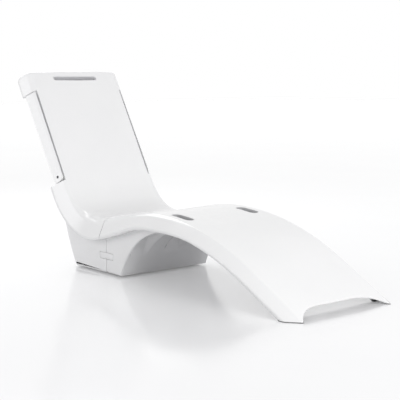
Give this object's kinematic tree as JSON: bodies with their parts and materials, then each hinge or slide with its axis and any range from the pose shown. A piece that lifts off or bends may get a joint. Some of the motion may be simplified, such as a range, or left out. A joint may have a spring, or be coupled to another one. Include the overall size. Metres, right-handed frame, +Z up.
{
  "type": "spa relaxation lounger",
  "caption": "Low wave-shaped spa relaxation lounger: moulded white shell on an arched tub base, slotted backrest, recessed leg grips and hinged armrests folded along the back.",
  "frame": {"origin": "on the floor, at the middle of the overall length and width", "axes": "+X from the head end towards the foot end, +Y towards the occupant's left, +Z up"},
  "size_m": [1.9804, 0.587, 0.9416],
  "materials": {
    "white_shell": "glossy white gelcoat",
    "white_arm": "glossy white moulding",
    "white_panel": "satin white panel",
    "grey_insert": "satin pale grey insert",
    "raw_laminate": "unpainted laminate",
    "grey_rubber": "matte",
    "acetal": "smooth",
    "steel": "stainless"
  },
  "bodies": {
    "lounger": {"rear_deck": "white_shell", "front_deck": "white_shell", "rear_base": "white_shell", "front_base": "white_shell", "rear_pan": "white_panel", "front_pan": "white_panel", "rear_bulkhead": "raw_laminate", "front_bulkhead": "raw_laminate", "seam_gasket": "grey_rubber", "back_cover": "white_panel", "slot_liner": "grey_insert", "leg_liner": "white_panel", "seam_bolts": "steel", "seam_nuts": "steel", "rim_screws": "steel", "pan_screws": "steel", "foot_screws": "steel", "cover_screws": "steel", "liner_screws": "steel", "tie_screws": "steel", "hinge_screws": "steel", "base_foot_1": "grey_rubber", "base_foot_2": "grey_rubber", "base_foot_3": "grey_rubber", "base_foot_4": "grey_rubber", "leg_glide_left": "grey_rubber", "leg_glide_right": "grey_rubber", "hinge_pin_left": "steel", "hinge_pin_right": "steel", "hinge_nut_left": "steel", "hinge_nut_right": "steel", "hinge_plate_left": "steel", "hinge_plate_right": "steel", "thrust_washer_left": "acetal", "thrust_washer_right": "acetal", "arm_stop_left": "grey_rubber", "arm_stop_right": "grey_rubber", "rest_peg_left": "grey_rubber", "rest_peg_right": "grey_rubber", "grip_cup_left": "grey_insert", "grip_cup_right": "grey_insert", "seam_cover_left": "white_shell", "seam_cover_right": "white_shell", "tie_plate_left": "steel", "tie_plate_right": "steel"},
    "left_arm": {"armrest_left": "white_arm", "arm_bush_left": "acetal"},
    "right_arm": {"armrest_right": "white_arm", "arm_bush_right": "acetal"}
  },
  "joints": [
    {"name": "left_arm_hinge", "type": "hinge", "parent": "lounger", "child": "left_arm", "pos_m": [-0.64899, 0.26, 0.42511], "axis": [0, 1, 0], "range_deg": [0, 98]},
    {"name": "right_arm_hinge", "type": "hinge", "parent": "lounger", "child": "right_arm", "pos_m": [-0.64899, -0.26, 0.42511], "axis": [0, 1, 0], "range_deg": [0, 98]}
  ]
}
